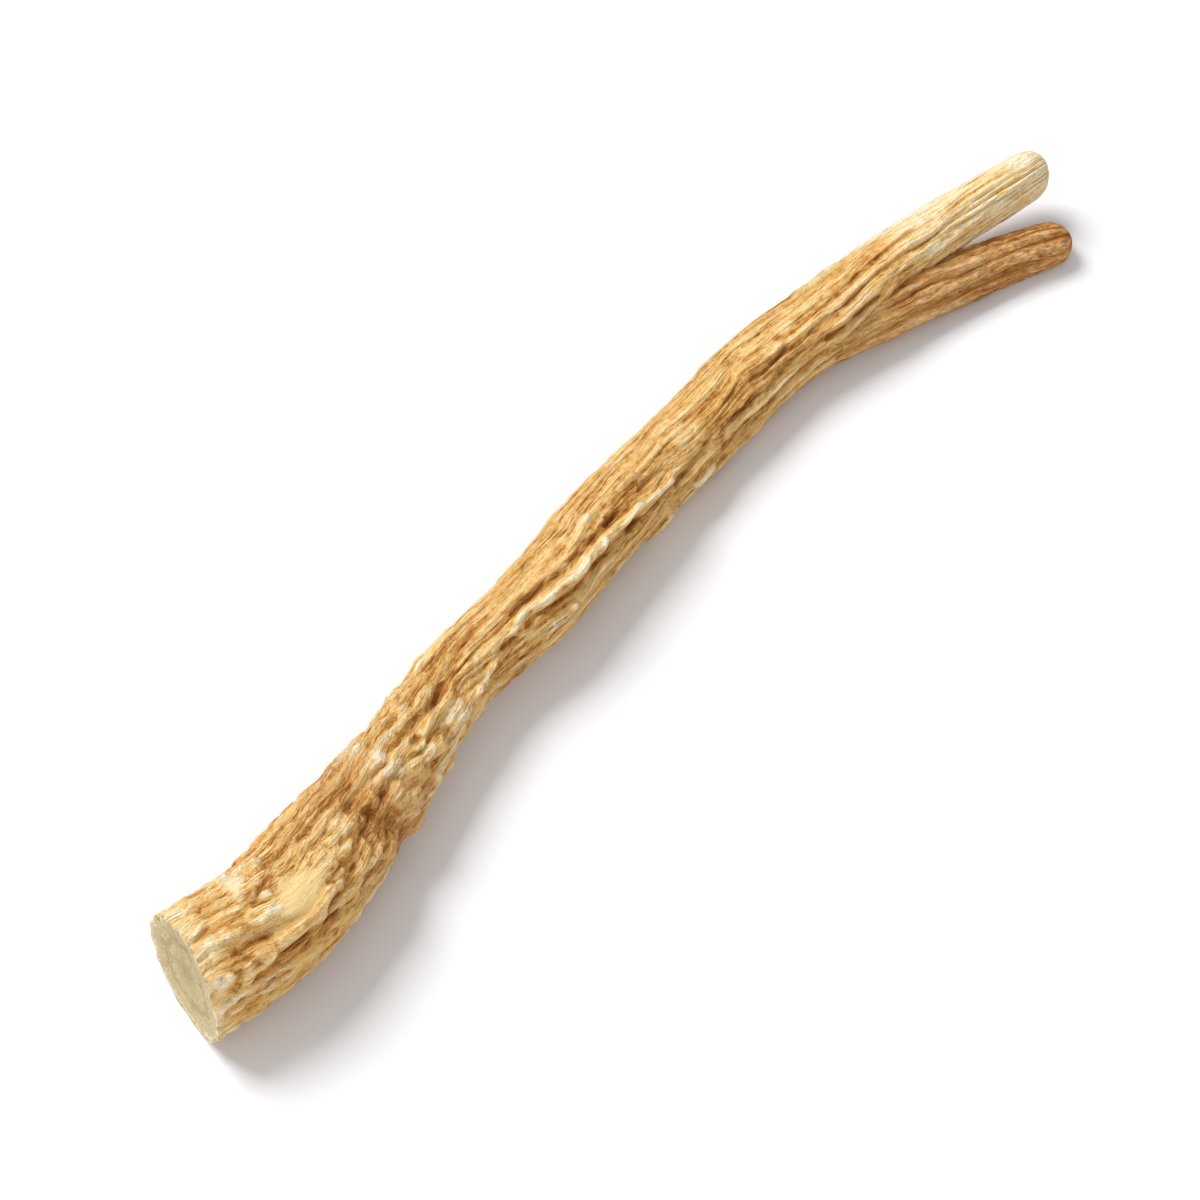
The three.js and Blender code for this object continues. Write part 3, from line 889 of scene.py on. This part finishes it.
class Shader:
    """Adds nodes to a material, one call for each."""

    def __init__(self, name: str) -> None:
        """Starts an empty material.

        Args:
            name: The material's name.
        """
        self.material = bpy.data.materials.new(name)
        self.material.use_nodes = True
        self.tree = self.material.node_tree
        self.tree.nodes.clear()
        self.output = self.tree.nodes.new("ShaderNodeOutputMaterial")
        self.surface = self.tree.nodes.new("ShaderNodeBsdfPrincipled")
        self.link(self.surface.outputs["BSDF"], self.output.inputs["Surface"])

    def link(self, start: Socket, end: Socket) -> None:
        """Joins the socket that gives a value to the one that takes it."""
        self.tree.links.new(start, end)

    def mark(self, mark: Mark) -> Socket:
        """Reads a mark that the skin carries.

        Args:
            mark: The mark to read.

        Returns:
            The socket with its value, or with its coordinates in millimetres for the grain's way.
        """
        node = self.tree.nodes.new("ShaderNodeAttribute")
        node.attribute_name = mark.value
        return node.outputs["Vector" if mark is Mark.WAY else "Fac"]

    def place(self) -> Socket:
        """Reads the place of each point, in metres."""
        return self.tree.nodes.new("ShaderNodeTexCoord").outputs["Object"]

    def grain(self, way: Socket, grain: Grain) -> Socket:
        """Lays a grain's noise.

        Args:
            way: The socket with the coordinates that the noise is laid on.
            grain: The noise.

        Returns:
            The socket with the noise, from 0 to 1.
        """
        fit = self.tree.nodes.new("ShaderNodeMapping")
        fit.inputs["Location"].default_value = (grain.seed, grain.seed * 0.7, grain.seed * 1.3)
        fit.inputs["Scale"].default_value = (1.0 / grain.stretch, 1.0, 1.0)
        self.link(way, fit.inputs["Vector"])
        node = self.tree.nodes.new("ShaderNodeTexNoise")
        node.inputs["Scale"].default_value = 1.0 / grain.size
        node.inputs["Detail"].default_value = grain.detail
        node.inputs["Roughness"].default_value = grain.roughness
        self.link(fit.outputs["Vector"], node.inputs["Vector"])
        return node.outputs["Fac"]

    def math(self, kind: str, first: Socket | float, second: Socket | float, clamp: bool = False) -> Socket:
        """A sum, product or other work on two values.

        Args:
            kind: The name of the work, as the node knows it.
            first: A socket or a number.
            second: A socket or a number.
            clamp: Whether the result stays between 0 and 1.

        Returns:
            The socket with the result.
        """
        node = self.tree.nodes.new("ShaderNodeMath")
        node.operation = kind
        node.use_clamp = clamp
        for value, socket in zip((first, second), node.inputs):
            if isinstance(value, Socket):
                self.link(value, socket)
            else:
                socket.default_value = value
        return node.outputs["Value"]

    def centred(self, noise: Socket) -> Socket:
        """Shifts a noise so that its middle is 0."""
        return self.math("SUBTRACT", noise, 0.5)

    def weighed(self, values: Socket | float, parts: list[tuple[Socket, float]]) -> Socket:
        """Adds values that are weighed against each other.

        Args:
            values: What they are added to: a socket or a number.
            parts: Pairs of a socket and its weight.

        Returns:
            The socket with the sum.
        """
        for value, weight in parts:
            values = self.math("ADD", values, self.math("MULTIPLY", value, weight))
        return values

    def span(self, value: Socket, low: float, high: float) -> Socket:
        """Stretches the part of a value between two limits to 0 and 1.

        Args:
            value: The socket with the value.
            low: What becomes 0.
            high: What becomes 1.

        Returns:
            The socket with the result.
        """
        node = self.tree.nodes.new("ShaderNodeMapRange")
        node.inputs["From Min"].default_value = low
        node.inputs["From Max"].default_value = high
        self.link(value, node.inputs["Value"])
        return node.outputs["Result"]

    def ramp(self, value: Socket, stops: tuple[tuple[float, Colour], ...]) -> Socket:
        """Colours a value.

        Args:
            value: The socket with the value.
            stops: Pairs of a place from 0 to 1 and the screen colour there.

        Returns:
            The socket with the colour.
        """
        node = self.tree.nodes.new("ShaderNodeValToRGB")
        while len(node.color_ramp.elements) < len(stops):
            node.color_ramp.elements.new(1.0)
        for element, (place, colour) in zip(node.color_ramp.elements, stops):
            element.position = place
            element.color = linear(*colour)
        self.link(value, node.inputs["Fac"])
        return node.outputs["Color"]

    def mix(self, share: Socket | float, under: Socket, over: Socket | Colour, blend: str = "MIX") -> Socket:
        """Lays one colour over another.

        Args:
            share: How much of the upper colour shows: a socket or a number.
            under: The socket with the lower colour.
            over: A socket or a screen colour.
            blend: How the two are mixed.

        Returns:
            The socket with the mixed colour.
        """
        node = self.tree.nodes.new("ShaderNodeMix")
        node.data_type = "RGBA"
        node.blend_type = blend
        if isinstance(share, Socket):
            self.link(share, node.inputs["Factor"])
        else:
            node.inputs["Factor"].default_value = share
        self.link(under, node.inputs[6])
        if isinstance(over, Socket):
            self.link(over, node.inputs[7])
        else:
            node.inputs[7].default_value = linear(*over)
        return node.outputs[2]

    def bump(self, height: Socket, distance: float, strength: float) -> None:
        """Gives the surface fine relief.

        Args:
            height: The socket with the relief's height.
            distance: The relief's depth, in metres.
            strength: How much of it shows.
        """
        node = self.tree.nodes.new("ShaderNodeBump")
        node.inputs["Strength"].default_value = strength
        node.inputs["Distance"].default_value = distance
        self.link(height, node.inputs["Height"])
        self.link(node.outputs["Normal"], self.surface.inputs["Normal"])


@dataclass(frozen=True)
class BarkFinish:
    """Dry tan bark with pale crests and furrows darkened as painted shade, and the greyish cream flesh of the
    cut.
    """

    # The bark from dark to pale: furrow and shade are the painted shade of furrows and hollows, crest is the
    # pale of the crests
    furrow: Colour = (148, 91, 34)
    shade: Colour = (192, 134, 64)
    bark: Colour = (230, 180, 104)
    crest: Colour = (246, 212, 148)
    # The brown that stains and painted shade multiply into the bark
    stained_and_shaded: Colour = (176, 112, 50)
    # Pale bark from rubbing, and the painted light towards the tip
    rubbed_and_lit: Colour = (252, 238, 204)
    flesh: Colour = (224, 204, 158)
    flesh_core: Colour = (198, 174, 124)
    flesh_rim: Colour = (250, 232, 190)
    streaks: Grain = Grain(size=0.22, stretch=24.0, detail=3.0, seed=0.3, weight=1.3)
    fibres: Grain = Grain(size=0.1, stretch=26.0, detail=2.0, seed=0.6, weight=0.9)
    patches: Grain = Grain(size=1.5, stretch=3.5, detail=3.0, seed=0.9, weight=1.2)
    specks: Grain = Grain(size=0.3, stretch=1.6, detail=2.0, seed=0.5, weight=0.9)
    ticks: Grain = Grain(size=0.55, stretch=0.16, detail=1.0, seed=0.8)
    flecks: Grain = Grain(size=0.42, stretch=2.6, detail=2.0, seed=0.1)
    clouds: Grain = Grain(size=0.0006, stretch=1.0, detail=4.0, seed=0.4, weight=0.5)
    roughness: float = 0.74
    shine: float = 0.2
    worn_and_lit_lift: float = 0.42
    tone_span: float = 0.84
    stain_and_shade_strength: float = 0.7
    calm_strength: float = 0.8
    relief_depth: float = 0.0004
    relief_strength: float = 0.85
    speck_relief: float = 0.6
    fibre_relief: float = 0.5

    def material(self) -> bpy.types.Material:
        """Makes the material.

        Returns:
            The material, which reads the marks of the skin.
        """
        s = Shader("dry_bark")
        way = s.mark(Mark.WAY)
        grains = (self.streaks, self.fibres, self.patches, self.specks)
        noises = [s.grain(way, grain) for grain in grains]
        streaks, fibres, _, specks = noises
        lively = s.math("SUBTRACT", 1.0, s.math("MULTIPLY", s.mark(Mark.CALM), self.calm_strength))
        rough = s.weighed(0.0, [(s.centred(noise), grain.weight) for noise, grain in zip(noises, grains)])
        # The relief's painted shade, broken up by grain, is lifted where the bark is pale from rubbing and
        # painted light
        shaded_tone = s.math("ADD", s.mark(Mark.SHADED_TONE), s.math("MULTIPLY", rough, lively))
        bark = self.bark_colour(s, s.weighed(shaded_tone, [(s.mark(Mark.WORN_AND_LIT), self.worn_and_lit_lift)]), specks)
        s.link(s.mix(s.mark(Mark.CUT), bark, self.flesh_colour(s)), s.surface.inputs["Base Color"])
        s.surface.inputs["Roughness"].default_value = self.roughness
        s.surface.inputs["Specular IOR Level"].default_value = self.shine
        relief = s.weighed(streaks, [(specks, self.speck_relief), (fibres, self.fibre_relief)])
        s.bump(s.math("MULTIPLY", relief, lively), self.relief_depth, self.relief_strength)
        return s.material

    def bark_colour(self, s: Shader, shaded_tone: Socket, specks: Socket) -> Socket:
        """Colours the bark from dark to pale, with painted shade in the furrows and hollows, multiplies in
        stains and painted shade, and adds specks, cross ticks and pale flecks on the crests.

        Args:
            s: The shader.
            shaded_tone: The socket with the tone, from dark to pale.
            specks: The socket with the noise of the specks.

        Returns:
            The socket with the colour.
        """
        way = s.mark(Mark.WAY)
        # From the painted shade of furrows to pale crests; the top stop is pale from rubbing and painted
        # light
        stops = (
            (0.04, self.furrow),
            (0.26, self.shade),
            (0.46, self.bark),
            (0.72, self.crest),
            (1.0, self.rubbed_and_lit),
        )
        colour = s.ramp(s.math("MULTIPLY", shaded_tone, self.tone_span, clamp=True), stops)
        # Multiplies in stains and painted shade: low on the sides, in sunk furrows, scars and the crease, and
        # on the lower leg
        stained_and_shaded = s.math("MULTIPLY", s.mark(Mark.STAIN_AND_SHADE), s.span(specks, 0.3, 0.6))
        colour = s.mix(s.math("MULTIPLY", stained_and_shaded, self.stain_and_shade_strength), colour, self.stained_and_shaded, "MULTIPLY")
        colour = s.mix(s.math("MULTIPLY", s.span(specks, 0.62, 0.74), 0.45), colour, self.furrow)
        ticks = s.span(s.grain(way, self.ticks), 0.6, 0.78)
        colour = s.mix(s.math("MULTIPLY", ticks, 0.3), colour, self.shade)
        flecks = s.span(s.grain(way, self.flecks), 0.58, 0.7)
        crested = s.math("MULTIPLY", flecks, s.span(s.mark(Mark.SHADED_TONE), 0.5, 0.75))
        return s.mix(s.math("MULTIPLY", crested, 0.5), colour, self.rubbed_and_lit)

    def flesh_colour(self, s: Shader) -> Socket:
        """Colours the cut face in cloudy rings, with a pale rim under the bark.

        Args:
            s: The shader.

        Returns:
            The socket with the colour.
        """
        rings = (
            (0.0, self.flesh_core),
            (0.45, self.flesh),
            (0.62, self.flesh_core),
            (0.7, self.flesh),
            (0.9, self.flesh),
            (0.97, self.flesh_rim),
        )
        cloudy = s.centred(s.grain(s.place(), self.clouds))
        return s.ramp(s.weighed(s.mark(Mark.CUT_REACH), [(cloudy, self.clouds.weight)]), rings)


@dataclass(frozen=True)
class FloorFinish:
    """A plain pale floor."""

    colour: Colour = (236, 236, 238)
    roughness: float = 0.9
    unevenness: Grain = Grain(size=0.02, stretch=1.0, detail=2.0, seed=0.2)
    darker: int = 2

    def material(self) -> bpy.types.Material:
        """Makes the material.

        Returns:
            The material, with a faint unevenness in its colour.
        """
        s = Shader("pale_floor")
        tint = s.grain(s.place(), self.unevenness)
        colour = s.ramp(tint, ((0.3, self.colour), (0.7, tuple(c - self.darker for c in self.colour))))
        s.link(colour, s.surface.inputs["Base Color"])
        s.surface.inputs["Roughness"].default_value = self.roughness
        return s.material


@dataclass
class RootBody:
    """The whole root: the trunk and the lower leg joined in one skin."""

    trunk: Trunk = field(default_factory=Trunk)
    leg: LowerLeg = field(default_factory=LowerLeg)
    finish: BarkFinish = BarkFinish()

    def joined(self) -> tuple[bpy.types.Mesh, Marks]:
        """Joins the two limbs in one closed skin.

        Returns:
            The mesh in millimetres, and the marks of its points.
        """
        limbs = [limb.build() for limb in (self.trunk, self.leg)]
        objects = [in_scene("limb", mesh) for mesh, _ in limbs]
        union = objects[0].modifiers.new("union", "BOOLEAN")
        union.operation = "UNION"
        union.solver = "MANIFOLD"
        union.object = objects[1]
        evaluated = objects[0].evaluated_get(bpy.context.evaluated_depsgraph_get())
        mesh = bpy.data.meshes.new_from_object(evaluated)
        marks = self.carried(mesh, limbs)
        for o, (old, _) in zip(objects, limbs):
            bpy.data.objects.remove(o)
            bpy.data.meshes.remove(old)
        return mesh, marks

    def carried(self, mesh: bpy.types.Mesh, limbs: list[tuple[bpy.types.Mesh, Marks]]) -> Marks:
        """Gives each point of the joined skin the marks of the limb's point that it came from.

        Args:
            mesh: The joined skin.
            limbs: The limbs' meshes with their marks.

        Returns:
            The marks of the joined skin's points.
        """
        places = [v.co.copy() for old, _ in limbs for v in old.vertices]
        tree = kdtree.KDTree(len(places))
        for i, place in enumerate(places):
            tree.insert(place, i)
        tree.balance()
        nearest = np.array([tree.find(v.co)[1] for v in mesh.vertices])
        return {mark: np.concatenate([marks[mark] for _, marks in limbs])[nearest] for mark in Mark}

    def build(self) -> bpy.types.Object:
        """Makes the root, dressed and in its place.

        Returns:
            The finished piece.
        """
        mesh, marks = self.joined()
        points = np.array([v.co for v in mesh.vertices]) / METRE
        middle = (points.min(0) + points.max(0)) / 2
        low, high = (np.array(corner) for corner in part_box(ROOT_NODE))
        shift = (low + high) / 2 - middle
        shift[2] = low[2] - points[:, 2].min()
        mesh.vertices.foreach_set("co", (points + shift).ravel())
        for mark, values in marks.items():
            kind, part = ("FLOAT_VECTOR", "vector") if mark is Mark.WAY else ("FLOAT", "value")
            layer = mesh.attributes.new(mark.value, kind, "POINT")
            layer.data.foreach_set(part, values.astype(np.float32).ravel())
        mesh.materials.clear()
        mesh.materials.append(self.finish.material())
        mesh.shade_smooth()
        mesh.update()
        piece = in_scene("dried_root", mesh)
        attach(piece, ROOT_BODY)
        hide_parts(ROOT_NODE)
        return piece


@dataclass(frozen=True)
class SoftLight:
    """A square light that faces the object. Its place and side are in metres, its power in watts."""

    name: str
    place: tuple[float, float, float]
    side: float
    power: float

    def hang(self) -> None:
        """Adds the light to the scene."""
        light = bpy.data.lights.new(self.name, "AREA")
        light.size = self.side
        light.energy = self.power
        lamp = in_scene(self.name, light)
        lamp.location = self.place
        lamp.rotation_euler = (-Vector(self.place)).to_track_quat("-Z", "Y").to_euler()


@dataclass
class Studio:
    """A pale floor, soft light and the camera."""

    floor_width: float = 1.6
    azimuth: float = -50.0
    elevation: float = 52.0
    lens: float = 100.0
    sensor: float = 36.0
    view_width: float = 0.068
    aim: tuple[float, float, float] = (-0.00485, -0.00126, 0.0029)
    nearest: float = 0.005
    world_light: float = 0.5
    soft_lights: tuple[SoftLight, ...] = (
        SoftLight("key", (-0.05, 0.34, 0.5), side=0.28, power=3.3),
        SoftLight("fill", (-0.35, -0.3, 0.3), side=0.5, power=0.8),
    )

    def build(self) -> None:
        """Sets up floor, light and camera."""
        self.floor()
        self.lights()
        self.camera()

    def floor(self) -> None:
        """Lays the floor under the object."""
        bm = bmesh.new()
        bmesh.ops.create_grid(bm, x_segments=8, y_segments=8, size=self.floor_width / 2)
        mesh = bpy.data.meshes.new("floor")
        bm.to_mesh(mesh)
        bm.free()
        mesh.materials.append(FloorFinish().material())
        floor = in_scene("floor", mesh)

    def lights(self) -> None:
        """Lights the object softly from above and behind, with a weak light in front."""
        for light in self.soft_lights:
            light.hang()
        world = bpy.data.worlds.new("studio")
        world.use_nodes = True
        back = world.node_tree.nodes["Background"]
        back.inputs["Color"].default_value = (1.0, 1.0, 1.0, 1.0)
        back.inputs["Strength"].default_value = self.world_light
        bpy.context.scene.world = world
        bpy.context.scene.view_settings.view_transform = "Standard"

    def camera(self) -> None:
        """Sets up the camera."""
        a, e = math.radians(self.azimuth), math.radians(self.elevation)
        back = Vector((math.sin(a) * math.cos(e), -math.cos(a) * math.cos(e), math.sin(e)))
        lens = bpy.data.cameras.new("camera")
        lens.lens = self.lens
        lens.sensor_width = self.sensor
        lens.clip_start = self.nearest
        eye = in_scene("camera", lens)
        eye.location = Vector(self.aim) + back * (self.view_width * self.lens / self.sensor)
        eye.rotation_euler = back.to_track_quat("Z", "Y").to_euler()
        bpy.context.scene.camera = eye


def write_sizes() -> None:
    """Updates the view layer."""
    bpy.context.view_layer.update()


def main() -> None:
    """Builds the root and the studio."""
    logging.basicConfig(level=logging.INFO, format="%(name)s: %(message)s")
    root = RootBody().build()
    log.info("%s: %d faces", root.name, len(root.data.polygons))
    Studio().build()
    log.info("studio: floor, lights and camera")
    write_sizes()


if __name__ == "__main__":
    main()
